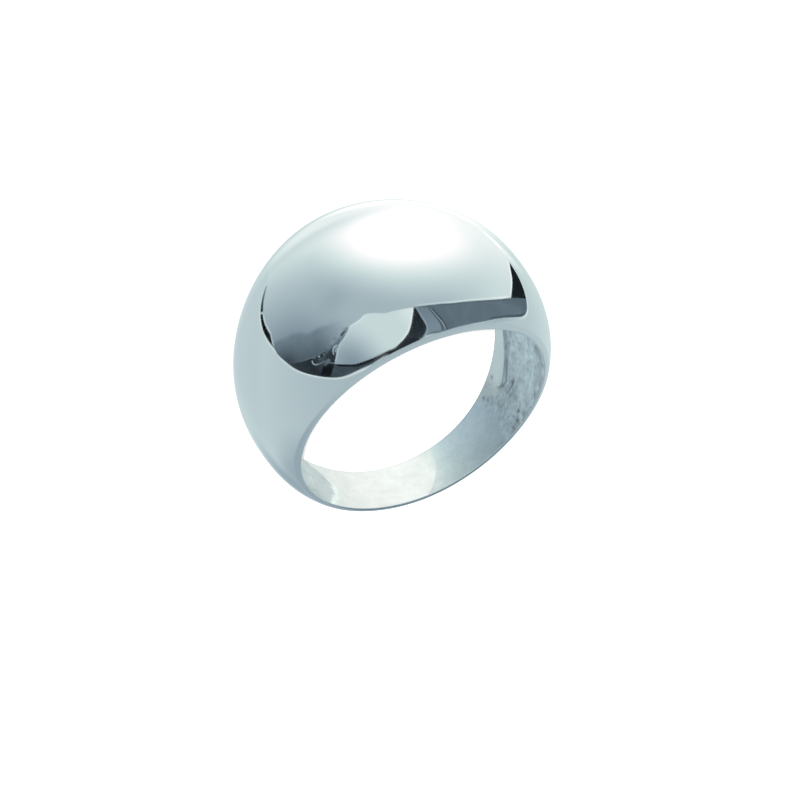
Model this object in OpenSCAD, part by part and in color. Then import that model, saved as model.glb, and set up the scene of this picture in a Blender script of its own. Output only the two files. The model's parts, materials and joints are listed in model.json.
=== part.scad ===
/* [Finger hole] */
// Diameter of the finger hole, a European size 54
bore_d = 17.2; // [15:0.1:21]

/* [Band] */
// Width along the finger at the middle of the dome
dome_w = 14.9; // [11:0.1:17]
// Width along the finger at the back of the shank
shank_w = 3.9; // [3:0.1:6]
// Height of the dome's crown above the finger hole
dome_t = 3.75; // [3.2:0.05:5]
// Height of the shank's crown above the finger hole
shank_t = 0.65; // [0.5:0.05:1.5]
// Thickness of the rim beside the dome
dome_rim_t = 0.4; // [0.3:0.05:0.6]
// Thickness of the rim beside the shank
shank_rim_t = 0.25; // [0.2:0.05:0.4]
// How fast the band narrows on its way from the dome to the shank
width_power = 1.22; // [0.9:0.02:1.6]
// How fast the crown drops on its way from the dome to the shank
height_power = 1.7; // [1.4:0.05:2]
// Fullness of the dome's cross-section, where 2 is a parabola
dome_fullness = 2.1; // [1.9:0.1:2.6]
// Fullness of the shank's cross-section, where 2 is a parabola
shank_fullness = 2.9; // [1.9:0.1:4]

/* [Hollow back] */
// Depth of the scoop behind the crown
scoop_depth = 2.5; // [1.5:0.1:2.6]
// Angle from the crown at which the scoop has run out
scoop_end = 132; // [110:1:140]
// How fast the scoop gets shallower on its way down the flanks
scoop_power = 1.55; // [1.4:0.05:2]
// Width of the smooth land between the scoop and a rim
land_w = 1.2; // [1:0.1:2]
// Width to which the upper land narrows where the scoop passes the flanks
flank_land_w = 0.4; // [0.3:0.1:1]
// Steepness of the scoop's walls, where 2 is a parabola
scoop_wall_power = 2.5; // [2:0.5:4]

/* [Fineness] */
// Number of sections round the ring
sections = 104; // [48:4:120]
// Number of steps across the band
steps = 28; // [12:2:32]

/* [Hidden] */

bore_r = bore_d / 2;
// How far the blanks that are cut by the finger hole reach into it
overlap = 0.6;
// How far below the finger hole's wall the scoop's floor starts, at its ends
sink = 0.06;
scoop_sections = 52;
scoop_steps = 14;
silver = [0.80, 0.83, 0.84];

// The ring's own axes: x across it, y from its back to its crown, z along the finger.
// An angle of 0 is the crown and 180 the back of the shank.

// 1 at the crown, falling smoothly to 0 at the back of the shank
function nearness(angle) = (1 + cos(angle)) / 2;

function half_width(angle) =
    (shank_w + (dome_w - shank_w) * pow(nearness(angle), width_power)) / 2;

function crown_height(angle) =
    shank_t + (dome_t - shank_t) * pow(nearness(angle), height_power);

function rim_thickness(angle) =
    shank_rim_t + (dome_rim_t - shank_rim_t) * nearness(angle);

function fullness(angle) =
    shank_fullness + (dome_fullness - shank_fullness) * nearness(angle);

// Radius of the outer face, where u runs across the band from -1 to 1
function outer_radius(angle, u) =
    let (rim = rim_thickness(angle), fall = pow(abs(u), fullness(angle)))
    bore_r + rim + (crown_height(angle) - rim) * (1 - fall);

// Even steps in this give finer steps near the rims, where the face is steepest
function across(i, count) = sin(90 * (2 * i / count - 1) * 0.8) / sin(90 * 0.8);

function around(angle, radius, z) = [radius * sin(angle), radius * cos(angle), z];

// One closed outline of the solid blank, from the lower rim over the crown to the upper rim
function band_section(angle) = [
    around(angle, bore_r - overlap, -half_width(angle)),
    for (i = [0:steps])
        let (u = across(i, steps))
        around(angle, outer_radius(angle, u), half_width(angle) * u),
    around(angle, bore_r - overlap, half_width(angle)),
];

// The upper land is full beside the crown and narrows where the ring is widest
function upper_land(angle) = land_w + (flank_land_w - land_w) * pow(sin(angle), 4);

// The scoop's depth is a power of the nearness, shifted so that it crosses 0 at scoop_end
scoop_foot = pow(sink / (scoop_depth + sink), 1 / scoop_power);
scoop_zero = (nearness(scoop_end) - scoop_foot) / (1 - scoop_foot);

function scoop_floor(angle) =
    (scoop_depth + sink)
    * pow(max(0, (nearness(angle) - scoop_zero) / (1 - scoop_zero)), scoop_power) - sink;

// One closed outline of the scoop, from its lower edge over its floor to its upper edge
function scoop_section(angle) =
    let (
        low = -half_width(angle) + land_w,
        high = half_width(angle) - upper_land(angle),
        mid = (low + high) / 2,
        reach = (high - low) / 2
    ) [
        around(angle, bore_r - overlap, low),
        for (i = [0:scoop_steps])
            let (
                u = across(i, scoop_steps),
                fall = 1 - pow(abs(u), scoop_wall_power),
                depth = -sink + (scoop_floor(angle) + sink) * fall
            )
            around(angle, bore_r + depth, mid + reach * u),
        around(angle, bore_r - overlap, high),
    ];

// Skin over a list of sections that all have the same number of points
function skin_faces(rows, points, closed) = [
    for (row = [0:rows - (closed ? 1 : 2)])
        for (i = [0:points - 1])
            let (
                a = row * points + i,
                b = row * points + (i + 1) % points,
                c = ((row + 1) % rows) * points + (i + 1) % points,
                d = ((row + 1) % rows) * points + i
            )
            for (face = [[a, c, b], [a, d, c]]) face,
];

function flatten(lists) = [for (list = lists) for (item = list) item];

module solid_blank() {
    angles = [for (i = [0:sections - 1]) 360 * i / sections];
    polyhedron(
        points = flatten([for (angle = angles) band_section(angle)]),
        faces = skin_faces(sections, steps + 3, true),
        convexity = 4
    );
}

module scoop() {
    last = scoop_end + 4;
    rows = scoop_sections + 1;
    points = scoop_steps + 3;
    angles = [for (i = [0:scoop_sections]) last * (2 * i / scoop_sections - 1)];
    polyhedron(
        points = flatten([for (angle = angles) scoop_section(angle)]),
        faces = concat(
            skin_faces(rows, points, false),
            [[for (i = [0:points - 1]) i]],
            [[for (i = [points - 1:-1:0]) (rows - 1) * points + i]]
        ),
        convexity = 4
    );
}

// The ring lies on its side and touches the surface in two places: on the inner edge of
// the dome's lower rim and on the outer edge of the shank's lower rim.
rest_tilt = atan((dome_w - shank_w) / 2 / (2 * bore_r + shank_rim_t));
rest_lift = dome_w / 2 * cos(rest_tilt) - bore_r * sin(rest_tilt);

// Distance from the finger hole's middle, along the surface, towards the crown's side
function forward(p) = p.y * cos(rest_tilt) - p.z * sin(rest_tilt);

mid_plane = concat(band_section(0), band_section(180));
front_reach = max([for (p = mid_plane) forward(p)]);
back_reach = min([for (p = mid_plane) forward(p)]);
rest_shift = (front_reach + back_reach) / 2;

module as_it_rests() {
    translate([0, rest_shift, rest_lift])
        rotate([-rest_tilt, 0, 0])
            rotate([0, 0, 180])
                children();
}

module dome_ring() {
    color(silver)
        as_it_rests()
            difference() {
                solid_blank();
                cylinder(r = bore_r, h = 2 * dome_w, center = true, $fn = 96);
                scoop();
            }
}

dome_ring();
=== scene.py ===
import json
import math

import bpy
import numpy as np
from mathutils import Matrix, Vector, noise
from mathutils.bvhtree import BVHTree
from mathutils.interpolate import poly_3d_calc

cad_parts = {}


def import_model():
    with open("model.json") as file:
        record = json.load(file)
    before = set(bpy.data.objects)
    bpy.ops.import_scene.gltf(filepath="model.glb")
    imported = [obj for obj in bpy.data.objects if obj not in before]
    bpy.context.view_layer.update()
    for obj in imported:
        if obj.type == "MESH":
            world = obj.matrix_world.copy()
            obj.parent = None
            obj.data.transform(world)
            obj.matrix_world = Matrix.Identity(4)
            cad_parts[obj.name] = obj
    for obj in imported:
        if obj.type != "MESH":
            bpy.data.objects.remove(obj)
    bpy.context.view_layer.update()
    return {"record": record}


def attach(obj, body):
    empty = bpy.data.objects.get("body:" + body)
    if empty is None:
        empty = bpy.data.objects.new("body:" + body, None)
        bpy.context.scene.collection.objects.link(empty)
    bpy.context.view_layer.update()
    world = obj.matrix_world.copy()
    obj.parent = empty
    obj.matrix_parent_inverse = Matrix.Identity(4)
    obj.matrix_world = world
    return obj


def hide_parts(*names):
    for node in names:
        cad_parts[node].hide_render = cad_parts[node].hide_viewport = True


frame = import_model()

# Sizes of the ring, in metres. The finger hole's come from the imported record.
MM = 0.001
HOLE = next(m for m in frame["record"]["mounts"] if m["name"] == "finger_hole")
BORE_R = HOLE["dims"]["r_mm"] * MM
DOME_W = HOLE["dims"]["length_mm"] * MM
SHANK_W = 3.9 * MM
DOME_T = 3.75 * MM
SHANK_T = 0.65 * MM
DOME_RIM_T = 0.4 * MM
SHANK_RIM_T = 0.25 * MM
WIDTH_POWER = 1.22
HEIGHT_POWER = 1.7
DOME_FULLNESS = 2.1
SHANK_FULLNESS = 2.9

# The hollow behind the dome
SCOOP_DEPTH = 2.5 * MM
SCOOP_END = 132
SCOOP_POWER = 1.55
SCOOP_WALL_POWER = 2.5
SCOOP_SINK = 0.06 * MM
LAND_W = 1.2 * MM
FLANK_LAND_W = 0.4 * MM

# Wear and polish. Each rim is worn round: the shank's falls away outwards, the dome's stays crisp,
# and the flanks' melts into the outer face.
SHANK_OUTER_ROUND = 0.07 * MM
DOME_OUTER_ROUND = 0.04 * MM
FLANK_MELT = 0.12 * MM
SHANK_RIM_FALL = 0.03 * MM
DOME_RIM_FALL = 0
SHANK_INNER_ROUND = 0.05 * MM
DOME_INNER_ROUND = 0.015 * MM
EDGE_LINE = 0.02 * MM
CREASE = 0.03 * MM
POLISH_LOSS = 0.006 * MM
WAVE_DEPTH = 0.002 * MM
WAVE_LENGTH = 3.5 * MM

# The inner wall is as cast inside the scoop and dull beyond it, with smooth land along its rims.
# A pair says where a change starts or ends and how far it takes, in degrees or, where a comment says
# so, in mm of height. Angles of cast metal, lands and shades are counted from the crown, the others
# round the ring. A border wanders to and fro by this much with the coarse noise.
CAST_END = (139, 8)
CAST_WANDER = 3
CAST_RELIEF = 0.03 * MM
FINE_RELIEF = 0.35
CAST_GRAIN = 0.7 * MM
CAST_OCTAVES = 4
FINE_GRAIN = 0.24 * MM
FINE_OCTAVES = 3
NOISE_INCREMENT = 0.9
NOISE_LACUNARITY = 2.1

# The left half has no land, cast metal or shade between these two, counted round the ring
PLAIN_START = (98, 6)
PLAIN_END = (165, 10)

# The far land's inner edge: at an angle from the crown, the height in mm and its rise per degree.
# The land ends at an angle from the crown, given at mid height with its change per mm of height.
FAR_LAND_EDGE = (100, -2.48, 0.065)
FAR_LAND_WANDER = 0.07 * MM
FAR_LAND_END = (119, -8.9)
FAR_END_WANDER = 1.5
FAR_END_SOFTNESS = 2.5

# The near land is narrower and fainter beside the shank
NEAR_LAND_W = 0.3 * MM
NEAR_LAND_WANDER = 0.08 * MM
NEAR_LAND_NARROWS = (92, 8)
NEAR_LAND_FADES = (92, 10)
NEAR_LAND_FADE = 0.6
NEAR_LAND_END = (140, 8)
LAND_SOFTNESS = 0.12 * MM

# The shade beside each edge of the scoop: distance from the edge to its middle, half its width and
# its darkness. Its blotches come and go with the coarse and fine noise.
FAR_SHADE = (0.2 * MM, 0.36 * MM, 0.38)
FAR_SHADE_END = (122, 6)
NEAR_SHADE = (-0.25 * MM, 0.45 * MM, 0.2)
NEAR_SHADE_START = (78, 8)
NEAR_SHADE_END = (114, 14)
SHADE_LEVEL = 0.75
SHADE_COARSE = 0.9
SHADE_FINE = 0.7
SHADE_MOST = 1.3

# The patch at the back of the shank that is buffed smooth, with painted light and shade in its colour.
# Each edge is an angle in degrees, with its slope and its bend over the height in mm.
BUFF_START = (137.5, -0.3, -1.2)
BUFF_START_SOFTNESS = 1.5
BUFF_END = (190.1, -3.1, -0.96)
BUFF_END_SOFTNESS = 0.5

# The gleam along the patch's first edge, a painted highlight, in degrees beyond it, and its foot in mm
# of height
GLEAM_PLACE = 1.6
GLEAM_WANDER = 1.6
GLEAM_HALF = 2.6
GLEAM_FOOT = (-1, 1)

# Small pits of the casting: angle in degrees, height and radius in mm
PITS = [
    (235.4, -2.21, 0.2), (226.8, -1.4, 0.22), (225.9, -1.9, 0.2), (251.6, 3.41, 0.18),
    (238, 2.53, 0.26), (233.3, 2.27, 0.24), (231.1, 2.2, 0.17), (228.8, 2.25, 0.19),
    (246.5, 3.3, 0.14), (232.6, 1.7, 0.16), (243.5, 3, 0.16), (236.4, 1.9, 0.18),
]
PIT_DEPTH = 0.05 * MM
PIT_DARKNESS = 0.6

# Longer flaws, and painted shade: the angle and height of both ends, the half width in mm and the
# darkness
FLAWS_AND_SHADE = [
    (243.2, -0.1, 242, -0.08, 0.22, 0.68), (242.4, -0.08, 236.7, -0.11, 0.16, 0.55),
    (259.5, -2.25, 252, -1.8, 0.2, 0.35), (246.5, -1.45, 240.5, -0.75, 0.16, 0.45),
    (239.5, -0.7, 234.9, -1.16, 0.14, 0.4), (236.5, 3.1, 226, 2.2, 0.24, 0.25),
    # These two are painted shade: a crescent on the scoop's wall near the upper rim
    (267.2, 1.7, 270.4, 4.2, 0.55, 0.24), (268.2, 1.8, 271.2, 4.3, 0.24, 0.42),
    (262, 3.7, 240, 3, 0.34, 0.2), (251.4, 2.9, 248, 3.1, 0.2, 0.35),
]
FLAW_WARP = 0.14
PIT_WARP = 0.07

# Share of red light that each kind of inner wall sends back, and what coarse and fine noise add.
# The dull wall's falls with the height in mm and towards the left end.
DULL_SHARE = 0.63
DULL_FALL = 0.045
DULL_COARSE = 0.034
DULL_FINE = 0.045
LEFT_END = (165, 20)
LEFT_END_LOSS = 0.13
LAND_SHARE = 0.77
LAND_FINE = 0.02

# The buffed patch has painted shade round one angle, up to this far on both sides, and painted light
# beyond another
BUFFED_SHARE = 0.66
BUFFED_COARSE = 0.035
BUFFED_FINE = 0.02
PAINTED_SHADE_ANGLE = 166
PAINTED_SHADE_HALF = 24
PAINTED_SHADE_LOSS = 0.09
PAINTED_LIGHT_START = (180, 8)
PAINTED_LIGHT_GAIN = 0.06
# The gleam is a painted highlight: its colour and how far it covers the patch's
PAINTED_GLEAM_SHARE = 0.8
PAINTED_GLEAM_STRENGTH = 0.8

# Cast metal is a little brighter and more blotched on the upper part of the right wall
CAST_SHARE = 0.585
CAST_BLOTCH = 0.12
UPPER_CAST = (246, 16)
UPPER_GAIN = 0.035
UPPER_BLOTCH = 0.05

# A dark line along the wall's lower end, in mm over that end, and the limits of the shares
LOWER_LINE = (0.14, 0.1)
LOWER_LINE_LOSS = 0.1
SHARE_LIMITS = (0.08, 0.85)

# Each kind's tint says how green and blue go with its red
DULL_TINT = np.array((1, 1.1, 1.175, 1))
DULL_START = (188, 24)
PALE_TINT = np.array((1, 1.15, 1.16, 1))
LAND_TINT = np.array((1, 1.045, 1.05, 1))
BUFFED_TINT = np.array((1, 1.09, 1.06, 1))

# Finish of the inner wall: the dull wall's roughness and grain, and how they change from there
DULL_ROUGHNESS = 0.34
LAND_POLISH = 0.04
BUFFED_POLISH = 0.1
GLEAM_POLISH = 0.08
DULL_GRAININESS = 0.2
CAST_GRAININESS = 0.8
LAND_SMOOTHNESS = 0.1

# Fineness of the mesh, whose lines gather towards both edges of a face
AROUND = 480
OUTER_STEPS = 56
ROUND_STEPS = 7
LAND_STEPS = 8
SCOOP_STEPS = 104
GATHER = 1.2

# Grain of the surfaces, finer than the mesh
SMEAR_SIZE = 3 * MM
SMEAR_DETAIL = 5
POLISH_ROUGHNESS = (0.02, 0.06)
HAIRLINE_SIZE = 0.25 * MM
HAIRLINE_DETAIL = 2
HAIRLINE_DEPTH = 0.0004 * MM
HAIRLINE_STRENGTH = 0.35
WALL_SMEAR_SIZE = 1 * MM
WALL_UNEVENNESS = (0.8, 1.2)
GRAIN_SIZE = 0.13 * MM
GRAIN_DETAIL = 4
GRAIN_DEPTH = 0.014 * MM
NOISE_MIDDLE = (0.3, 0.7)

# The ring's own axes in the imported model's frame
CENTRE = Vector(HOLE["pos_m"])
ALONG = Vector(HOLE["axis"]).normalized()
ACROSS = Vector((1.0, 0.0, 0.0))
TO_CROWN = ACROSS.cross(ALONG)

# Camera, fitted to the outline of the ring in the photograph
CAMERA_AZIMUTH = 27.98
CAMERA_ELEVATION = 62.89
CAMERA_ROLL = 132.72
CAMERA_DISTANCE = 0.4
CAMERA_LENS = 278.7
CAMERA_CLIP = 0.01
RING_X, RING_Y = 396.71, 380.42
IMAGE_SIZE = 800

# Light that falls on polished silver comes back with this share of each colour
SILVER = (0.80, 0.83, 0.84)

# A grey light of the studio is tinted cool, and the tint fades as the light gets brighter
GREY_LEVELS = (0.1, 0.25, 0.45, 0.65, 0.85, 1.0)
COOL_RED = (0.73, 0.77, 0.82, 0.86, 0.93, 1.0)
COOL_GREEN = (1.05, 1.04, 1.04, 1.04, 1.02, 1.0)
COOL_BLUE = (1.28, 1.24, 1.12, 1.05, 1.01, 1.0)

# The sphere of the room, the cards that hang inside it, and how fine their meshes are
STUDIO_RADIUS = 2.0
ROOM_COLUMNS = 181
ROOM_ROWS = 91
CARD_GAP = 0.05
CARD_STEPS_ALONG = 160
CARD_STEPS_ACROSS = 24
STREAK_FEATHER = (0.4, 0.4, 0.08, 0.08)
MOTTLE_OCTAVES = 3

# The pale room: light at eye level and its fall with the height, then glows and shades that add to
# it, and places with a light of their own. Each is an azimuth and an elevation, the radius of its
# core and of its edge in degrees, and the light.
ROOM_LIGHT = 0.52
ROOM_FALL = 0.1
ROOM_GLOWS = [
    (0, -90, 5, 30, -0.03), (97, -60, 10, 34, -0.04), (-97, -67, 6, 16, 0.36),
    (-92, -48, 4, 13, 0.25), (-50, -78, 6, 20, 0.22), (-112, -45, 6, 34, 0.04),
]
ROOM_PLACES = [
    (155, -5, 12, 42, 0.365), (168, -45, 6, 22, 0.36), (152, -27, 5, 18, 0.39),
    (-179, -9, 6, 14, 0.365), (-164, 2, 5, 14, 0.34), (-167, 12, 4, 9, 0.08),
]

# The soft box: two broad glows on a cool grey that darkens to the right, and its least light
ARCH_LIGHT = 0.44
ARCH_GLOWS = [
    (-25, -10, 0, 52, 0.6), (-30, -50, 0, 66, 0.45), (-100, -30, 25, 90, 0.25),
    (100, 10, 0, 74, -0.5), (27, 6, 0, 16, -0.05), (42, 23, 0, 9, -0.05),
]
ARCH_LEAST = 0.1

# The slate's light, with its changes along and across the card, and the pale panel's
SLATE_LIGHT = 0.21
SLATE_ALONG = 0.02
SLATE_ACROSS = -0.12
SLATE_GLOWS = [(76, -6, 0, 14, -0.05)]
PANEL_LIGHT = 0.655
PANEL_GLOWS = [(62, 40, 0, 32, -0.37), (-18, 40, 0, 14, 0.09)]

# The blotched strip's light along its left and its right side, and where the right one takes over
STRIP_LEFT_TONES = (0.1, 0.12, 0.17, 0.25, 0.32, 0.34)
STRIP_RIGHT_TONES = (0.03, 0.03, 0.07, 0.2, 0.27, 0.2)
STRIP_CHANGE = (0.3, 0.4)

# The wedge's light, with what it gains along the card and in its blotches
WEDGE_LIGHT = 0.011
WEDGE_ALONG = 0.02
WEDGE_BLOTCH = 0.016

# Strength of each card's blotches and their size in degrees
SLATE_MOTTLE = (0.06, 4)
BAND_MOTTLE = (0.08, 6)
DARK_MOTTLE = (0.2, 3)
STRIP_MOTTLE = (0.3, 2.2)
WEDGE_MOTTLE_SIZE = 3

# Light on the floor
AMBIENT = 0.6
LAMP_STRENGTH = 4.2
LAMP_SPREAD = 3
LAMP_AZIMUTH = 28.5
LAMP_ELEVATION = 63.5
FLOOR_SIZE = 4.0
FLOOR_SHADE = (0.9, 0.9, 0.9, 1)


def direction(azimuth, elevation):
    """Direction seen at an azimuth from -Y towards +X and an elevation, in degrees."""
    a = np.radians(azimuth)
    e = np.radians(elevation)
    return np.stack([np.sin(a) * np.cos(e), -np.cos(a) * np.cos(e), np.sin(e)], -1)


def smooth_curve(points, start=0, end=None):
    """Samples of the smooth curve through a list of points, from one place in the list to another."""
    last = len(points) - 1
    p = np.array(points, float)
    p = np.vstack([2 * p[0] - p[1], p, 2 * p[-1] - p[-2]])
    place = np.linspace(start, last if end is None else end, CARD_STEPS_ALONG)
    i = np.minimum(place.astype(int), last - 1)
    f = (place - i)[:, None]
    a, b, c, d = (p[i + k] for k in range(4))
    return b + 0.5 * f * (c - a + f * (2 * a - 5 * b + 4 * c - d + f * (3 * b - a - 3 * c + d)))


def blend(first, second, share):
    """The first where the share is 0, and the second where it is 1."""
    return first + share * (second - first)


def soft_step(x, width):
    """0 below 0, rising smoothly to 1 at this width."""
    x = np.clip(x / width, 0, 1)
    return x * x * (3 - 2 * x)


def soft_ridge(x, half):
    """1 at 0, falling smoothly to 0 at this distance on both sides."""
    return soft_step(half - np.abs(x), half)


def past(x, start):
    """0 up to the start, which is a pair of a place and a width, rising smoothly to 1."""
    place, width = start
    return soft_step(x - place, width)


def before(x, end):
    """0 from the end on, which is a pair of a place and a width, rising smoothly to 1 before it."""
    place, width = end
    return soft_step(place - x, width)


def gathered(steps):
    """Steps from -1 to 1 that get finer towards both ends."""
    return np.sin(np.linspace(-1, 1, steps) * GATHER) / math.sin(GATHER)


# The shape of the ring. An angle of 0 is the crown and pi the back of the shank.
def nearness(angle):
    return (1 + np.cos(angle)) / 2


def shank_to_dome(angle, shank, dome):
    """A value that changes smoothly from the back of the shank to the crown."""
    return blend(shank, dome, nearness(angle))


def half_width(angle):
    return blend(SHANK_W, DOME_W, nearness(angle) ** WIDTH_POWER) / 2


def rim_thickness(angle):
    return shank_to_dome(angle, SHANK_RIM_T, DOME_RIM_T)


def outer_radius(angle, u):
    """Radius of the outer face, where u runs across the band from -1 to 1."""
    rim = rim_thickness(angle)
    crown = blend(SHANK_T, DOME_T, nearness(angle) ** HEIGHT_POWER)
    fullness = shank_to_dome(angle, SHANK_FULLNESS, DOME_FULLNESS)
    return BORE_R + rim + (crown - rim) * (1 - np.abs(u) ** fullness) - POLISH_LOSS


def scoop_floor(angle):
    """Depth of the scoop's middle, which falls below 0 where the scoop has run out."""
    foot = (SCOOP_SINK / (SCOOP_DEPTH + SCOOP_SINK)) ** (1 / SCOOP_POWER)
    zero = (nearness(math.radians(SCOOP_END)) - foot) / (1 - foot)
    share = np.maximum(0, (nearness(angle) - zero) / (1 - zero))
    return (SCOOP_DEPTH + SCOOP_SINK) * share ** SCOOP_POWER - SCOOP_SINK


def scoop_edges(angle):
    upper_land = blend(LAND_W, FLANK_LAND_W, np.sin(angle) ** 4)
    return -half_width(angle) + LAND_W, half_width(angle) - upper_land


def scoop_depth(angle, z):
    low, high = scoop_edges(angle)
    u = np.abs(z - (low + high) / 2) / ((high - low) / 2)
    return (scoop_floor(angle) + SCOOP_SINK) * (1 - u ** SCOOP_WALL_POWER) - SCOOP_SINK


def soft_floor(depth, softness):
    """Depth with everything below 0 brought up to 0 and a soft crease between the two."""
    return (depth + np.sqrt(depth ** 2 + softness ** 2)) / 2


def bend(a, b, c, steps):
    """Points of a corner that leaves a towards b and arrives at c, without its last one."""
    s = np.linspace(0, 1, steps, endpoint=False)
    return (1 - s) ** 2 * a + 2 * (1 - s) * s * b + s ** 2 * c


def outer_side(angle):
    """Radius and height of the outer face, from the lower rim over the crown to the upper rim."""
    worn = shank_to_dome(angle, SHANK_OUTER_ROUND, DOME_OUTER_ROUND)
    end = 1 - (worn + FLANK_MELT * math.sin(angle) ** 4) / half_width(angle)
    near_end = end - EDGE_LINE / half_width(angle)
    u = np.hstack([-end, gathered(OUTER_STEPS - 2) * near_end, end])
    height = half_width(angle) * u
    radius = outer_radius(angle, u)
    wave = [noise.noise(Vector((r * math.sin(angle), z, r * math.cos(angle))) / WAVE_LENGTH)
            for r, z in zip(radius, height)]
    return radius + WAVE_DEPTH * np.array(wave), height


def upper_rim(angle, end_radius, end_height):
    """The upper rim, worn round, from the outer face to the inner wall."""
    top = half_width(angle)
    outer = BORE_R + rim_thickness(angle) - POLISH_LOSS
    inner = shank_to_dome(angle, SHANK_INNER_ROUND, DOME_INNER_ROUND)
    fall = shank_to_dome(angle, SHANK_RIM_FALL, DOME_RIM_FALL)
    radius = [bend(end_radius, outer, BORE_R + inner, ROUND_STEPS)]
    height = [bend(end_height, top - fall, top, ROUND_STEPS)]
    radius.append(bend(BORE_R + inner, BORE_R, BORE_R, ROUND_STEPS))
    height.append(bend(top, top, top - inner, ROUND_STEPS))
    return np.hstack(radius), np.hstack(height)


def wall_heights(angle):
    """Heights of the mesh lines on the inner wall, which follow the scoop's edges."""
    low, high = scoop_edges(angle)
    end = half_width(angle) - shank_to_dome(angle, SHANK_INNER_ROUND, DOME_INNER_ROUND)
    return np.hstack([
        blend(end, high, np.linspace(0, 1, LAND_STEPS, endpoint=False)),
        (high + low) / 2 - (high - low) / 2 * gathered(SCOOP_STEPS),
        blend(low, -end, np.linspace(0, 1, LAND_STEPS + 1)[1:]),
    ])


def fractal(place, octaves):
    return noise.fractal(place, NOISE_INCREMENT, NOISE_LACUNARITY, octaves)


def wall_noise(angle, z, grain, octaves):
    """Smooth noise between about -1 and 1 on the inner wall, with features of this grain."""
    x, y = BORE_R * math.sin(angle), BORE_R * math.cos(angle)
    return np.array([fractal(Vector((x, h, y)) / grain, octaves) for h in z])


def flaw_and_shade_marks(degrees, mm, fine):
    """How dark the pits, long flaws and painted shade in the flaw list make each place on the inner
    wall.
    """
    arc = math.radians(1) * BORE_R / MM
    mark = np.zeros_like(mm)
    for pit_angle, pit_height, radius in PITS:
        distance = np.hypot((degrees - pit_angle) * arc, mm - pit_height) + PIT_WARP * fine
        mark = np.maximum(mark, PIT_DARKNESS * soft_step(radius - distance, radius))
    for angle_a, height_a, angle_b, height_b, half, dark in FLAWS_AND_SHADE:
        along = np.array([(angle_b - angle_a) * arc, height_b - height_a])
        x, y = (degrees - angle_a) * arc, mm - height_a
        share = np.clip((x * along[0] + y * along[1]) / (along @ along), 0, 1)
        distance = np.hypot(x - share * along[0], y - share * along[1]) + FLAW_WARP * fine
        mark = np.maximum(mark, dark * soft_step(half - distance, half))
    return mark


def edge_shade(z, edge, shade):
    """Darkness of the shade that runs beside an edge of the scoop."""
    distance, half, dark = shade
    return dark * soft_ridge(z - edge - distance, half)


def wall_zones(angle, z, coarse, fine):
    """How far each point of the inner wall is cast metal, smooth land and shaded scoop edge."""
    low, high = scoop_edges(angle)
    degrees = math.degrees(angle)
    from_crown = 180 - abs(180 - degrees)
    marked = past(degrees, PLAIN_END) + before(degrees, PLAIN_START)
    start, height, rise = FAR_LAND_EDGE
    far_edge = max(low, (height + rise * (from_crown - start)) * MM)
    far = soft_step(far_edge - z + FAR_LAND_WANDER * coarse, LAND_SOFTNESS)
    end, slant = FAR_LAND_END
    short_of_end = end + slant * z / MM - from_crown + FAR_END_WANDER * coarse
    far = far * soft_step(short_of_end, FAR_END_SOFTNESS)
    near_width = blend(half_width(angle) - high, NEAR_LAND_W, past(from_crown, NEAR_LAND_NARROWS))
    near_edge = half_width(angle) - near_width
    near = soft_step(z - near_edge + NEAR_LAND_WANDER * coarse, LAND_SOFTNESS)
    near = near * (1 - NEAR_LAND_FADE * past(from_crown, NEAR_LAND_FADES))
    land = np.maximum(far, near * before(from_crown, NEAR_LAND_END)) * marked
    cast = (1 - land) * before(from_crown - CAST_WANDER * coarse, CAST_END) * marked
    far_shade = edge_shade(z, far_edge, FAR_SHADE) * before(from_crown, FAR_SHADE_END)
    near_shade = edge_shade(z, high, NEAR_SHADE) * before(from_crown, NEAR_SHADE_END)
    near_shade = near_shade * past(from_crown, NEAR_SHADE_START)
    blotches = np.clip(SHADE_LEVEL + SHADE_COARSE * coarse + SHADE_FINE * fine, 0, SHADE_MOST)
    return cast, land, np.maximum(far_shade, near_shade) * marked * blotches


def buff_edge(values, mm):
    """Angle in degrees of an edge of the buffed patch at each height."""
    middle, slope, curve = values
    return middle + slope * mm + curve * mm ** 2


def buffed_patch(degrees, mm, coarse):
    """How far each point lies in the buffed patch and in the painted highlight along its first edge.
    """
    within = degrees - buff_edge(BUFF_START, mm)
    inside = soft_step(buff_edge(BUFF_END, mm) - degrees, BUFF_END_SOFTNESS)
    inside = inside * soft_step(within + coarse, BUFF_START_SOFTNESS)
    painted_gleam = soft_ridge(within - GLEAM_PLACE + GLEAM_WANDER * coarse, GLEAM_HALF)
    return inside, painted_gleam * past(mm, GLEAM_FOOT)


def wall_share(degrees, mm, coarse, fine, cast, land, buffed, painted_gleam):
    """Share of red light that the inner wall sends back, apart from its marks."""
    left_end = before(degrees, LEFT_END)
    share = DULL_SHARE - DULL_FALL * mm * (1 - left_end) - LEFT_END_LOSS * left_end
    share = share + DULL_COARSE * coarse + DULL_FINE * fine
    share = blend(share, LAND_SHARE + LAND_FINE * fine, land)
    # Painted shade round one angle of the buffed patch and painted light beyond another
    painted_shade = soft_ridge(degrees - PAINTED_SHADE_ANGLE, PAINTED_SHADE_HALF)
    bright = BUFFED_SHARE - PAINTED_SHADE_LOSS * painted_shade
    bright = bright + PAINTED_LIGHT_GAIN * past(degrees, PAINTED_LIGHT_START)
    bright = bright + BUFFED_COARSE * coarse + BUFFED_FINE * fine
    share = blend(share, bright, buffed)
    # The gleam paints a highlight along the patch's first edge
    share = blend(share, PAINTED_GLEAM_SHARE, PAINTED_GLEAM_STRENGTH * painted_gleam)
    upper = past(degrees, UPPER_CAST)
    blotch = (CAST_BLOTCH + UPPER_BLOTCH * upper) * (coarse + fine)
    return blend(share, CAST_SHARE + UPPER_GAIN * upper + blotch, cast)


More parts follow.
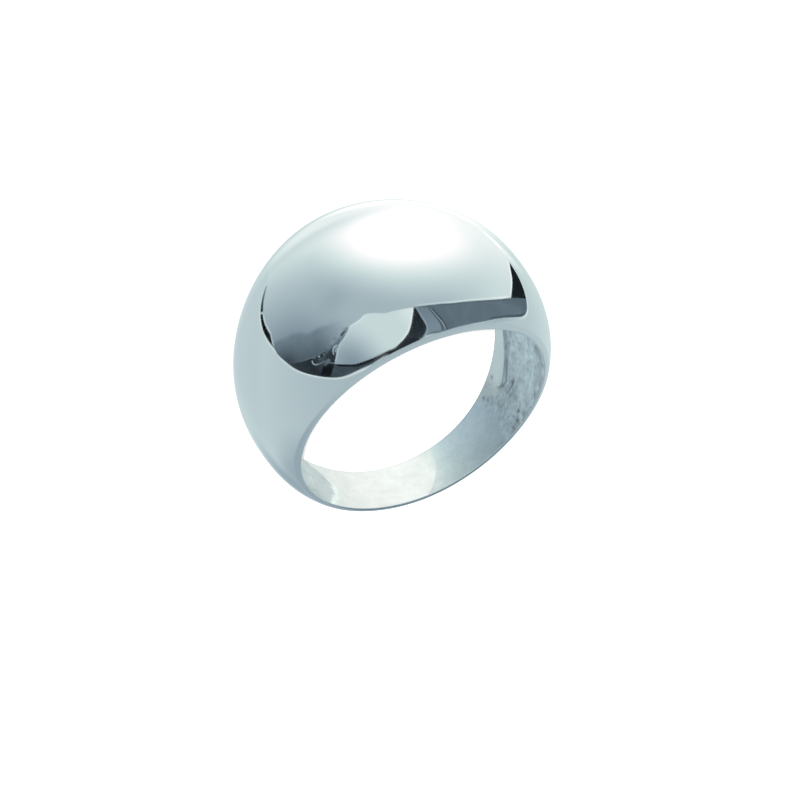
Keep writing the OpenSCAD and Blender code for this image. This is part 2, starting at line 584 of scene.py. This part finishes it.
def wall_tint(degrees, land, buffed):
    tint = blend(PALE_TINT, DULL_TINT, past(degrees, DULL_START))
    tint = blend(tint, LAND_TINT, land[:, None])
    return blend(tint, BUFFED_TINT, buffed[:, None])


def wall(angle):
    """Radius, height, colour and finish of the inner wall. The finish is roughness and grain."""
    z = wall_heights(angle)
    mm = z / MM
    degrees = math.degrees(angle)
    coarse = wall_noise(angle, z, CAST_GRAIN, CAST_OCTAVES)
    fine = wall_noise(angle, z, FINE_GRAIN, FINE_OCTAVES)
    cast, land, shade = wall_zones(angle, z, coarse, fine)
    buffed, painted_gleam = buffed_patch(degrees, mm, coarse)
    # The pits, the flaws and the painted shade darken the colour and add to the cast metal's relief
    mark = np.maximum(flaw_and_shade_marks(degrees, mm, fine), shade)
    share = wall_share(degrees, mm, coarse, fine, cast, land, buffed, painted_gleam) * (1 - mark)
    share = share * (1 - LOWER_LINE_LOSS * before(mm + half_width(angle) / MM, LOWER_LINE))
    colour = np.clip(share, *SHARE_LIMITS)[:, None] * wall_tint(degrees, land, buffed)
    roughness = DULL_ROUGHNESS - LAND_POLISH * land - BUFFED_POLISH * buffed - GLEAM_POLISH * painted_gleam
    grain = np.clip(DULL_GRAININESS + CAST_GRAININESS * cast - LAND_SMOOTHNESS * land, 0, 1)
    relief = cast * (CAST_RELIEF * (coarse + FINE_RELIEF * fine) + PIT_DEPTH * mark)
    radius = BORE_R + soft_floor(scoop_depth(angle, z), CREASE) + relief
    return radius, z, colour, np.stack([roughness, grain, 0 * z, np.ones_like(z)], -1)


def section(angle):
    """Radius, height, colour and finish of every point round one cross-section of the band."""
    outer_r, outer_z = outer_side(angle)
    rim_r, rim_z = upper_rim(angle, outer_r[-1], outer_z[-1])
    wall_r, wall_z, wall_tone, wall_finish = wall(angle)
    radius = np.hstack([outer_r[:-1], rim_r, wall_r, rim_r[:0:-1]])
    height = np.hstack([outer_z[:-1], rim_z, wall_z, -rim_z[:0:-1]])
    colour = np.tile([*SILVER, 1], (len(radius), 1))
    finish = np.zeros_like(colour)
    first = len(outer_r) - 1 + len(rim_r)
    colour[first:first + len(wall_r)] = wall_tone
    finish[first:first + len(wall_r)] = wall_finish
    return radius, height, colour, finish


def to_frame(angle, radius, height):
    """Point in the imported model's frame."""
    across = radius * np.sin(angle)
    to_crown = radius * np.cos(angle)
    axes = np.array([ACROSS, ALONG, TO_CROWN])
    return np.array(CENTRE) + np.stack([across, height, to_crown], -1) @ axes


def ring_mesh():
    """The whole ring as one closed skin."""
    angles = np.linspace(0, 2 * math.pi, AROUND, endpoint=False)
    rows = [section(angle) for angle in angles]
    points = np.array([to_frame(a, row[0], row[1]) for a, row in zip(angles, rows)])
    count = points.shape[1]
    faces = []
    inner = []
    first_inner = OUTER_STEPS - 1 + 2 * ROUND_STEPS
    last_inner = first_inner + 2 * LAND_STEPS + SCOOP_STEPS
    for i in range(AROUND):
        here, there = i * count, (i + 1) % AROUND * count
        for j in range(count):
            k = (j + 1) % count
            faces.append((here + j, there + j, there + k, here + k))
            inner.append(first_inner <= j < last_inner - 1)
    mesh = bpy.data.meshes.new("silver_ring")
    mesh.from_pydata(points.reshape(-1, 3).tolist(), [], faces)
    mesh.polygons.foreach_set("use_smooth", [True] * len(faces))
    mesh.polygons.foreach_set("material_index", [int(x) for x in inner])
    for name, part in (("tone", 2), ("finish", 3)):
        layer = mesh.color_attributes.new(name, "FLOAT_COLOR", "POINT")
        layer.data.foreach_set("color", np.array([row[part] for row in rows]).reshape(-1))
    mesh.update()
    return mesh


def new_material(name):
    material = bpy.data.materials.new(name)
    material.use_nodes = True
    return material, material.node_tree.nodes, material.node_tree.links


def add_noise(nodes, links, size, detail):
    """Noise over the object's own coordinates, with features of about this size in metres."""
    place = nodes.new("ShaderNodeTexCoord")
    texture = nodes.new("ShaderNodeTexNoise")
    texture.inputs["Scale"].default_value = 1 / size
    texture.inputs["Detail"].default_value = detail
    links.new(place.outputs["Object"], texture.inputs["Vector"])
    return texture.outputs["Fac"]


def ranged(nodes, links, value, limits):
    """A noise's middle range, spread from the lower to the upper limit."""
    remap = nodes.new("ShaderNodeMapRange")
    remap.inputs["From Min"].default_value = NOISE_MIDDLE[0]
    remap.inputs["From Max"].default_value = NOISE_MIDDLE[1]
    remap.inputs["To Min"].default_value = limits[0]
    remap.inputs["To Max"].default_value = limits[1]
    links.new(value, remap.inputs["Value"])
    return remap.outputs["Result"]


def multiply(nodes, links, first, second):
    product = nodes.new("ShaderNodeMath")
    product.operation = "MULTIPLY"
    for socket, value in zip(product.inputs, (first, second)):
        links.new(value, socket)
    return product.outputs[0]


def add_bump(nodes, links, height, distance, strength):
    bump = nodes.new("ShaderNodeBump")
    bump.inputs["Distance"].default_value = distance
    bump.inputs["Strength"].default_value = strength
    links.new(height, bump.inputs["Height"])
    links.new(bump.outputs["Normal"], nodes["Principled BSDF"].inputs["Normal"])
    return bump


def polished_silver():
    """Mirror polish with faint smears and hairlines from wear."""
    material, nodes, links = new_material("polished_silver")
    shader = nodes["Principled BSDF"]
    shader.inputs["Base Color"].default_value = (*SILVER, 1)
    shader.inputs["Metallic"].default_value = 1
    smears = add_noise(nodes, links, SMEAR_SIZE, SMEAR_DETAIL)
    links.new(ranged(nodes, links, smears, POLISH_ROUGHNESS), shader.inputs["Roughness"])
    hairlines = add_noise(nodes, links, HAIRLINE_SIZE, HAIRLINE_DETAIL)
    add_bump(nodes, links, hairlines, HAIRLINE_DEPTH, HAIRLINE_STRENGTH)
    return material


def point_layer(nodes, name):
    """What the mesh holds point by point under this name."""
    layer = nodes.new("ShaderNodeVertexColor")
    layer.layer_name = name
    return layer.outputs["Color"]


def bore_silver():
    """The inner wall, whose colour, roughness and grain the mesh holds point by point."""
    material, nodes, links = new_material("bore_silver")
    shader = nodes["Principled BSDF"]
    shader.inputs["Metallic"].default_value = 1
    links.new(point_layer(nodes, "tone"), shader.inputs["Base Color"])
    parts = nodes.new("ShaderNodeSeparateColor")
    links.new(point_layer(nodes, "finish"), parts.inputs["Color"])
    smears = add_noise(nodes, links, WALL_SMEAR_SIZE, SMEAR_DETAIL)
    uneven = ranged(nodes, links, smears, WALL_UNEVENNESS)
    links.new(multiply(nodes, links, parts.outputs["Red"], uneven), shader.inputs["Roughness"])
    grain = add_noise(nodes, links, GRAIN_SIZE, GRAIN_DETAIL)
    bump = add_bump(nodes, links, grain, GRAIN_DEPTH, 1)
    links.new(parts.outputs["Green"], bump.inputs["Strength"])
    return material


def make_ring():
    ring = bpy.data.objects.new("silver_ring", ring_mesh())
    bpy.context.scene.collection.objects.link(ring)
    ring.data.materials.append(polished_silver())
    ring.data.materials.append(bore_silver())
    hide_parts("dome_ring")
    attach(ring, "root")
    return ring


def make_camera():
    back = Vector(direction(CAMERA_AZIMUTH, CAMERA_ELEVATION))
    azimuth = math.radians(CAMERA_AZIMUTH)
    level = Vector((math.cos(azimuth), math.sin(azimuth), 0))
    roll = math.radians(CAMERA_ROLL)
    right = level * math.cos(roll) + back.cross(level) * math.sin(roll)
    camera = bpy.data.objects.new("camera", bpy.data.cameras.new("camera"))
    bpy.context.scene.collection.objects.link(camera)
    turn = Matrix((right, back.cross(right), back)).transposed()
    camera.matrix_world = Matrix.Translation(CENTRE + back * CAMERA_DISTANCE) @ turn.to_4x4()
    camera.data.lens = CAMERA_LENS
    camera.data.shift_x = (IMAGE_SIZE / 2 - RING_X) / IMAGE_SIZE
    camera.data.shift_y = (RING_Y - IMAGE_SIZE / 2) / IMAGE_SIZE
    camera.data.clip_start = CAMERA_CLIP
    bpy.context.scene.camera = camera
    return camera


# The studio: cards of light and dark round the ring, which show in the silver alone. Each lies
# between two edges. An edge is a list of places where it shows in the ring, as pixels read off
# enlarged crops of the photograph, of which a few were moved after a look at the render. The ring's
# mirror says in which direction each of them lies.
ARCH_EDGE = [
    (508.6, 261.5), (522.6, 287), (526.8, 306.3), (525.6, 313), (521.5, 316.4), (512.5, 317.3),
    (497, 318.8), (480.3, 322.1), (460, 326.5), (440.3, 332.4), (420.2, 339.6), (405.3, 346.6),
    (388.4, 355.2), (371.8, 364.1), (352.6, 372.8), (337.5, 377.3), (318.8, 376), (299.3, 370.6),
    (285.5, 361.3), (275.2, 349.3), (267.7, 339), (261.8, 323.5), (261, 304.8), (266.4, 284.8),
]

# Where that edge starts and the soft box's foot, which the ring doesn't show: azimuth and elevation
ARCH_START = [(-82, -70), (-90, -51)]
ARCH_FOOT = [(-80, -82), (-40, -82), (0, -82), (50, -82)]

# Places along the soft box's edge, counted in its points with those of its start
CORNER_TIP = 2
CORNER_FOOT = 3.55
BAND_FOOT_START = 5
BAND_FOOT_END = 8.6
BAND_END = 12.2
EDGE_START = 12
EDGE_END = 19.85
LAST_PLACE = 25

# The other edges of the cards that border on the soft box's edge
BAND_INNER = [
    (511, 297.9), (500, 299.2), (486.5, 300.2), (472.6, 301.2), (460, 302.4), (449.4, 303.5),
    (435.6, 304.6), (424, 305.9), (413.3, 307.6),
]
CORNER_INNER = [(508.6, 261.5), (510.3, 269.7), (512, 282), (511.5, 290.8), (510.7, 298)]
WEDGE_OUTER = [
    (415, 307.8), (417.5, 311.1), (420.6, 316.4), (423.6, 321), (425.5, 324.7), (426.5, 327.9),
    (425.8, 331.5), (423.6, 335.3), (421.5, 338.6),
]
WEDGE_INNER = [
    (413.3, 307.7), (413.1, 311.3), (412.7, 314.9), (412, 319.5), (411.2, 323.9), (410.1, 328),
    (408.6, 332.2), (406.5, 335.7), (404, 339),
]
EDGE_INNER = [
    (408.6, 332.2), (404, 339), (395, 347.6), (387.5, 351.2), (379.2, 355.2), (370, 359.2),
    (361.8, 362), (354.8, 363.7), (345, 364.2), (334.7, 363.7), (326.5, 361.5), (319, 359.6),
    (312, 358.5), (306.6, 360.4), (298.5, 362.3), (291.5, 363.2), (286.5, 362.3),
]

# The panel's two outlines, which both turn their corner at the same place in their lists
PANEL_CORNER = 6
PANEL_TOP = [
    (413.5, 307.7), (406, 308.6), (399.3, 310), (389.5, 312), (383.9, 313.4), (372.8, 313.2),
    (365, 314.4), (360.7, 318.8), (356.2, 322), (349.6, 326.5), (347.4, 332), (343, 339.7),
    (338.6, 346.4), (336.4, 355.2), (334.7, 363.7),
]
PANEL_FOOT = [
    (413.5, 307.7), (412.7, 314.9), (411.2, 323.9), (408.6, 332.2), (404, 339), (398.8, 344.3),
    (395, 347.6), (389.4, 350), (378.3, 355.6), (367.3, 360), (356.2, 363.8), (345.2, 364.3),
    (334.7, 363.7),
]

# The slate, and the strip with its small folds between slate and panel
SLATE_TOP = [
    (274.3, 347), (273.3, 343.7), (274.6, 340), (281, 337), (287, 334.5), (290.4, 331.6), (296, 330),
    (301, 329.8), (308.8, 330.4), (317.6, 325.4), (326.4, 323.2), (334, 321.5), (345, 321),
]
SLATE_FOOT = [
    (274.4, 347.3), (277.4, 353.6), (283.1, 359.3), (287, 362.3), (291, 363), (296.6, 362.3),
    (302, 360.5), (307.3, 358.4), (312.3, 356.8), (319, 353), (328, 347), (335.3, 338.5), (344.8, 327),
]
STRIP_LEFT = [
    (312.6, 358.5), (316.5, 354), (323, 349.7), (328.6, 345.3), (333, 338.6), (337.5, 332),
    (345.2, 326.5),
]
STRIP_RIGHT = [
    (334.9, 363), (336, 356), (336.5, 350), (339.7, 343), (345.2, 336.4), (347.8, 332), (349.5, 326.5),
]
BLACK_LEFT = [(323.2, 363.7), (321.4, 370), (319.6, 376.5)]
BLACK_RIGHT = [(335.3, 364), (333.4, 370), (331.4, 376.5)]
GREY_FOLD = [(330, 359), (327.3, 362), (324.3, 366)]
HOOK = [(312.5, 359.7), (312.8, 362.5), (315.4, 364.6), (319.8, 363.5), (326.6, 360.4), (329, 358)]
BEAD_SHADE = [(316, 359), (321.3, 355.8), (326.4, 352.8)]
BEAD_A = [(318, 357.2), (319.4, 356.5), (320.6, 355.9)]
BEAD_B = [(323, 354.9), (324.3, 354.4), (325.5, 353.8)]
BRACKET = [(338.6, 344.7), (335.5, 346), (333.6, 348.6), (333.4, 352), (334.2, 355.2)]
BRACKET_FILL = [(337, 346.5), (336, 352.5)]
NOTCH = [(345.2, 330.8), (343.2, 333), (340.8, 335.7)]
NOTCH_LIGHT = [(341.3, 329.5), (339.4, 332), (336, 336.5)]

# The thin lines in the grey band, the black slit with its dash, and the glint
LINE_A = [(427.4, 307.4), (434, 314.9), (439.3, 322), (441.4, 327.2), (441.7, 331)]
LINE_LIGHT = [(428.8, 307.5), (437, 316.4), (442.9, 323.2), (444.7, 327), (445.2, 330)]
LINE_B = [(430.5, 307.4), (437.8, 315.4), (444.4, 323.4), (446.5, 327.4), (446.9, 329.4)]
LENS_OUTER = [
    (260.6, 314.4), (261, 318.2), (262.1, 325.5), (263.9, 332), (267.4, 338.7), (271, 343.7),
    (274.2, 347.3),
]
LENS_INNER = [
    (263, 314.4), (264, 320.9), (266, 326.4), (267.8, 330), (270.3, 334.4), (271.3, 338.8),
    (272.5, 343.7), (274.5, 347.8),
]
DASH_OUTER = [(266.2, 286), (263.6, 293.8), (261.8, 301.6), (260.8, 311.8)]
DASH_INNER = [(267.5, 285.3), (265.5, 292.9), (263.8, 301.6), (263.2, 311.8)]
GLINT = [(484, 232), (489, 237), (495, 242), (499.5, 247.5)]


def mirror_of(ring, camera):
    """A function that gives the azimuth and elevation that the ring shows at each pixel in a list."""
    mesh = ring.data
    points = [vertex.co.copy() for vertex in mesh.vertices]
    tree = BVHTree.FromPolygons(points, [tuple(face.vertices) for face in mesh.polygons])
    turn = camera.matrix_world.to_3x3()
    focal_length = CAMERA_LENS / camera.data.sensor_width * IMAGE_SIZE

    def shown(place):
        x, y = place
        sight = (turn @ Vector((x - RING_X, RING_Y - y, -focal_length))).normalized()
        hit, _, face, _ = tree.ray_cast(camera.matrix_world.translation, sight)
        corners = mesh.polygons[face].vertices
        shares = poly_3d_calc([points[corner] for corner in corners], hit)
        normals = [share * mesh.vertices[corner].normal for share, corner in zip(shares, corners)]
        seen = sight.reflect(sum(normals, Vector()).normalized())
        return math.degrees(math.atan2(seen.x, -seen.y)), math.degrees(math.asin(seen.z))
    return lambda places: [shown(place) for place in places]


def spot(towards, azimuth, elevation, core, edge):
    """1 within the core angle round a place, falling smoothly to 0 at the edge angle."""
    angle = np.degrees(np.arccos(np.clip(towards @ direction(azimuth, elevation), -1, 1)))
    return soft_step(edge - angle, edge - core)


def add_glows(light, towards, glows):
    """The light with these glows added to it, or shades where they are negative."""
    for *place, gain in glows:
        light = light + gain * spot(towards, *place)
    return light


def cool(light):
    """Colour of a grey light, as the silver has to receive it to send back the cool tint."""
    tints = [light * np.interp(light, GREY_LEVELS, tint) for tint in (COOL_RED, COOL_GREEN, COOL_BLUE)]
    return np.stack(tints, -1) / np.array(SILVER)


def card_material():
    if "card" in bpy.data.materials:
        return bpy.data.materials["card"]
    material, nodes, links = new_material("card")
    nodes.remove(nodes["Principled BSDF"])
    light = nodes.new("ShaderNodeVertexColor")
    light.layer_name = "light"
    shine = nodes.new("ShaderNodeEmission")
    clear = nodes.new("ShaderNodeBsdfTransparent")
    mix = nodes.new("ShaderNodeMixShader")
    links.new(light.outputs["Color"], shine.inputs["Color"])
    links.new(light.outputs["Alpha"], mix.inputs[0])
    links.new(clear.outputs[0], mix.inputs[1])
    links.new(shine.outputs[0], mix.inputs[2])
    links.new(mix.outputs[0], nodes["Material Output"].inputs["Surface"])
    material.cycles.emission_sampling = "NONE"
    return material


def add_card(name, towards, light, cover, order):
    """A card whose mesh is a grid of directions. A higher order hangs in front of a lower one."""
    rows, columns = light.shape
    corner = np.arange(rows * columns).reshape(rows, columns)
    faces = np.stack([corner[:-1, :-1], corner[:-1, 1:], corner[1:, 1:], corner[1:, :-1]], -1)
    mesh = bpy.data.meshes.new(name)
    radius = STUDIO_RADIUS - order * CARD_GAP
    mesh.from_pydata((towards * radius).reshape(-1, 3).tolist(), [], faces.reshape(-1, 4).tolist())
    colours = np.concatenate([cool(light), cover[..., None]], -1)
    layer = mesh.color_attributes.new("light", "FLOAT_COLOR", "POINT")
    layer.data.foreach_set("color", colours.reshape(-1))
    mesh.materials.append(card_material())
    obj = bpy.data.objects.new(name, mesh)
    obj.location = CENTRE
    bpy.context.scene.collection.objects.link(obj)
    obj.visible_camera = obj.visible_diffuse = obj.visible_shadow = False


def card(name, first, second, light, order, feather=(0, 0, 0, 0)):
    """A card between two edges.

    light gives the tone of each point from its direction, how far along the edges it lies and how
    far across from the first to the second. feather softens the first, second, start and end borders.
    """
    along = np.linspace(0, 1, CARD_STEPS_ALONG)
    s, q = np.meshgrid(along, np.linspace(0, 1, CARD_STEPS_ACROSS), indexing="ij")
    places = blend(first[:, None], second[:, None], q[..., None])
    towards = direction(places[..., 0], places[..., 1])
    cover = np.ones_like(s)
    for place, width in zip((q, 1 - q, s, 1 - s), feather):
        if width:
            cover = cover * soft_step(place, width)
    add_card(name, towards, light(towards, s, q), cover, order)


def beside(line, offset):
    """The line moved sideways by an angle in degrees, to the left as it runs."""
    shrink = np.cos(np.radians(line[:, 1:]))
    run = np.gradient(line, axis=0) * np.hstack([shrink, np.ones_like(shrink)])
    run /= np.linalg.norm(run, axis=1, keepdims=True)
    return line + offset * np.hstack([-run[:, 1:] / shrink, run[:, :1]])


def streak(name, line, width, light, order):
    """A thin card along a line, soft on both sides and at both ends."""
    card(name, beside(line, width / 2), beside(line, -width / 2), light, order, STREAK_FEATHER)


def mottle(towards, size):
    """Smooth noise between about -1 and 1 over the directions, with features of this many degrees."""
    flat = towards.reshape(-1, 3)
    levels = [fractal(Vector(p) / math.radians(size), MOTTLE_OCTAVES) for p in flat]
    return np.array(levels).reshape(towards.shape[:-1])


def mottled(light, towards, blotches):
    """The light with blotches of a strength and size."""
    strength, size = blotches
    return light * (1 + strength * mottle(towards, size))


def spread(values, s):
    """Values that follow each other evenly along a card, at each place along it."""
    return np.interp(s, np.linspace(0, 1, len(values)), values)


def tones(*values):
    """Light of a card whose tone runs evenly through these values along it."""
    return lambda towards, s, q: spread(values, s)


def surround_light(towards):
    """The pale room: bright low on the left, shaded behind the ring, with one dark place there."""
    light = add_glows(ROOM_LIGHT - ROOM_FALL * towards[..., 2], towards, ROOM_GLOWS)
    for *place, tone in ROOM_PLACES:
        light = blend(light, tone, spot(towards, *place))
    return light


def surround():
    """One sphere of light round everything."""
    azimuths = np.linspace(-180, 180, ROOM_COLUMNS)
    elevations = np.linspace(-90, 90, ROOM_ROWS)
    azimuth, elevation = np.meshgrid(azimuths, elevations, indexing="ij")
    towards = direction(azimuth, elevation)
    add_card("surround", towards, surround_light(towards), np.ones_like(azimuth), 0)


def arch_light(towards, s, q):
    return np.maximum(add_glows(ARCH_LIGHT, towards, ARCH_GLOWS), ARCH_LEAST)


def slate_light(towards, s, q):
    light = add_glows(SLATE_LIGHT + SLATE_ALONG * s + SLATE_ACROSS * q, towards, SLATE_GLOWS)
    return mottled(light, towards, SLATE_MOTTLE)


def soft_box(mirror, edge):
    """The big soft box with the slate that covers its lower left, and the shine along its edge."""
    card("arch", smooth_curve(edge), smooth_curve(ARCH_FOOT), arch_light, 1, (0, 0.3, 0, 0))
    card("slate", smooth_curve(mirror(SLATE_TOP)), smooth_curve(mirror(SLATE_FOOT)), slate_light, 2,
         (0.2, 0, 0, 0.3))
    shine = tones(0.76, 0.75, 0.42, 0.5, 0.7, 0.7, 0.7, 0.7, 0.68)
    streak("edge_shine", beside(smooth_curve(edge, CORNER_TIP, LAST_PLACE), 0.7), 1.4, shine, 1)


def band_light(towards, s, q):
    return mottled(spread((0.12, 0.16, 0.15, 0.15, 0.12), s), towards, BAND_MOTTLE)


def grey_band(mirror, edge):
    """The grey band along the soft box's foot, with a paler strip between thin lines at its end."""
    inner = smooth_curve(mirror(BAND_INNER))
    card("grey_band", smooth_curve(edge, CORNER_FOOT, BAND_END), inner, band_light, 2)
    streak("band_top", beside(inner, 0.35), 0.9, tones(0.09, 0.11, 0.11, 0.09, 0.07), 3)
    foot = smooth_curve(edge, BAND_FOOT_START, BAND_FOOT_END)
    streak("band_foot", beside(foot, -0.5), 1.3, tones(0.1, 0.075, 0.085, 0.11), 3)
    streak("band_shine", beside(inner, -0.7), 1.1, tones(0.9, 0.75, 0.7, 0.62, 0.62), 2)
    line_a = smooth_curve(mirror(LINE_A))
    card("band_strip", smooth_curve(mirror(WEDGE_OUTER)), line_a, tones(0.2, 0.22, 0.24, 0.24), 3)
    streak("line_a", line_a, 1.1, tones(0.07, 0.07, 0.08), 4)
    streak("line_light", smooth_curve(mirror(LINE_LIGHT)), 1.2, tones(0.26, 0.32, 0.28), 5)
    streak("line_b", smooth_curve(mirror(LINE_B)), 1.4, tones(0.04, 0.05, 0.07), 4)


def black_corner(mirror, edge):
    inner = smooth_curve(mirror(CORNER_INNER))
    card("black_corner", smooth_curve(edge, CORNER_TIP, CORNER_FOOT), inner, tones(0.01, 0.014), 3)
    streak("corner_shine", beside(inner, -0.6), 1.1, tones(0.9, 0.95, 0.9), 2)


def wedge_light(towards, s, q):
    blotches = np.clip(mottle(towards, WEDGE_MOTTLE_SIZE), 0, 1)
    return WEDGE_LIGHT + WEDGE_ALONG * s + WEDGE_BLOTCH * blotches


def dark_light(towards, s, q):
    tone = spread((0.022, 0.028, 0.027, 0.05, 0.065, 0.066, 0.027, 0.034, 0.045), s)
    return mottled(tone, towards, DARK_MOTTLE)


def dark_edge(mirror, edge):
    """The near-black zone between the soft box's edge and the panel, with its wedge at one end."""
    outer = smooth_curve(mirror(WEDGE_OUTER))
    card("wedge", outer, smooth_curve(mirror(WEDGE_INNER)), wedge_light, 5)
    streak("wedge_shine", beside(outer, 0.5), 0.9, tones(0.3, 0.44, 0.4, 0.3), 6)
    inner = smooth_curve(mirror(EDGE_INNER))
    card("dark_edge", smooth_curve(edge, EDGE_START, EDGE_END), inner, dark_light, 4)
    card("black_strip", smooth_curve(mirror(BLACK_LEFT)), smooth_curve(mirror(BLACK_RIGHT)),
         tones(0.016, 0.008, 0.012), 5, (0.15, 0.1, 0, 0))
    foot = smooth_curve(mirror(PANEL_FOOT), PANEL_CORNER)
    streak("panel_shadow", beside(foot, 0.7), 2.2, tones(0.012, 0.01, 0.004, 0.004), 5)


def panel_light(towards, s, q):
    return add_glows(PANEL_LIGHT, towards, PANEL_GLOWS)


def pale_panel(mirror):
    top, foot = mirror(PANEL_TOP), mirror(PANEL_FOOT)
    card("pale_panel", smooth_curve(foot), smooth_curve(top), panel_light, 6)
    side = smooth_curve(foot, 0, PANEL_CORNER)
    streak("panel_shine", beside(side, -0.5), 1.1, tones(0.92, 0.88, 0.8, 0.62), 7)
    rim = smooth_curve(top, PANEL_CORNER)
    streak("panel_rim", beside(rim, 0.4), 1, tones(0.78, 0.8, 0.66, 0.55, 0.5), 7)


def strip_light(towards, s, q):
    """Grey on the left, dark towards the panel, and blotched all over."""
    light = blend(spread(STRIP_LEFT_TONES, s), spread(STRIP_RIGHT_TONES, s), past(q, STRIP_CHANGE))
    return mottled(light, towards, STRIP_MOTTLE)


def swirl(mirror):
    """Small bright and dark folds between the slate and the panel."""
    card("strip", smooth_curve(mirror(STRIP_LEFT)), smooth_curve(mirror(STRIP_RIGHT)), strip_light, 5,
         (0.08, 0, 0, 0.05))
    for name, places, width, light, order in (
            ("grey_fold", GREY_FOLD, 3, tones(0.17, 0.14, 0.06), 6),
            ("hook", HOOK, 1.3, tones(0.26, 0.42, 0.36, 0.18, 0.11, 0.1), 7),
            ("bead_shade", BEAD_SHADE, 3, tones(0.03, 0.015, 0.05), 6),
            ("bead_a", BEAD_A, 1.4, tones(0.15, 0.45, 0.15), 7),
            ("bead_b", BEAD_B, 1.3, tones(0.1, 0.2, 0.1), 7),
            ("bracket_fill", BRACKET_FILL, 2.6, tones(0.3, 0.3), 6),
            ("bracket", BRACKET, 1.4, tones(0.32, 0.46, 0.42, 0.32), 7),
            ("notch", NOTCH, 1.7, tones(0.012, 0.02), 6),
            ("notch_light", NOTCH_LIGHT, 1.3, tones(0.42, 0.36, 0.3), 6)):
        streak(name, smooth_curve(mirror(places)), width, light, order)


def black_lens(mirror):
    """The black slit at the soft box's left edge, with the thin dash that runs on above it."""
    inner = smooth_curve(mirror(LENS_INNER))
    card("black_lens", smooth_curve(mirror(LENS_OUTER)), inner, tones(0.003, 0.002, 0.01, 0.002), 4)
    card("black_dash", smooth_curve(mirror(DASH_OUTER)), smooth_curve(mirror(DASH_INNER)),
         tones(0.34, 0.2, 0.09, 0.004), 4)
    streak("lens_shine", beside(inner, 0.6), 1, tones(0.7, 0.66, 0.6), 3)


def make_studio(ring, camera):
    mirror = mirror_of(ring, camera)
    edge = ARCH_START + mirror(ARCH_EDGE)
    surround()
    soft_box(mirror, edge)
    grey_band(mirror, edge)
    black_corner(mirror, edge)
    dark_edge(mirror, edge)
    pale_panel(mirror)
    swirl(mirror)
    black_lens(mirror)
    streak("glint", smooth_curve(mirror(GLINT)), 2.6, tones(1, 1.25, 1.25, 1.2), 1)


def make_world():
    """Even light for the floor, and white behind it. The silver sees the studio instead."""
    world = bpy.data.worlds.new("studio")
    world.use_nodes = True
    world.node_tree.nodes["Background"].inputs["Color"].default_value = (1, 1, 1, 1)
    world.node_tree.nodes["Background"].inputs["Strength"].default_value = AMBIENT
    bpy.context.scene.world = world


def make_floor():
    mesh = bpy.data.meshes.new("floor")
    corners = [(-FLOOR_SIZE, -FLOOR_SIZE, 0), (FLOOR_SIZE, -FLOOR_SIZE, 0)]
    corners += [(FLOOR_SIZE, FLOOR_SIZE, 0), (-FLOOR_SIZE, FLOOR_SIZE, 0)]
    mesh.from_pydata(corners, [], [(0, 1, 2, 3)])
    floor = bpy.data.objects.new("floor", mesh)
    bpy.context.scene.collection.objects.link(floor)
    material, nodes, links = new_material("floor")
    shader = nodes["Principled BSDF"]
    shader.inputs["Base Color"].default_value = FLOOR_SHADE
    shader.inputs["Roughness"].default_value = 1
    shader.inputs["Specular IOR Level"].default_value = 0
    mesh.materials.append(material)
    floor.visible_glossy = False


def make_lamp():
    lamp = bpy.data.lights.new("soft_lamp", "SUN")
    lamp.energy = LAMP_STRENGTH
    lamp.angle = math.radians(LAMP_SPREAD)
    obj = bpy.data.objects.new("soft_lamp", lamp)
    bpy.context.scene.collection.objects.link(obj)
    obj.rotation_mode = "QUATERNION"
    obj.rotation_quaternion = Vector(direction(LAMP_AZIMUTH, LAMP_ELEVATION)).to_track_quat("Z", "Y")
    obj.visible_glossy = False


camera = make_camera()
ring = make_ring()
make_studio(ring, camera)
make_world()
make_floor()
make_lamp()
bpy.context.scene.view_settings.view_transform = "Standard"
bpy.context.scene.cycles.caustics_reflective = False
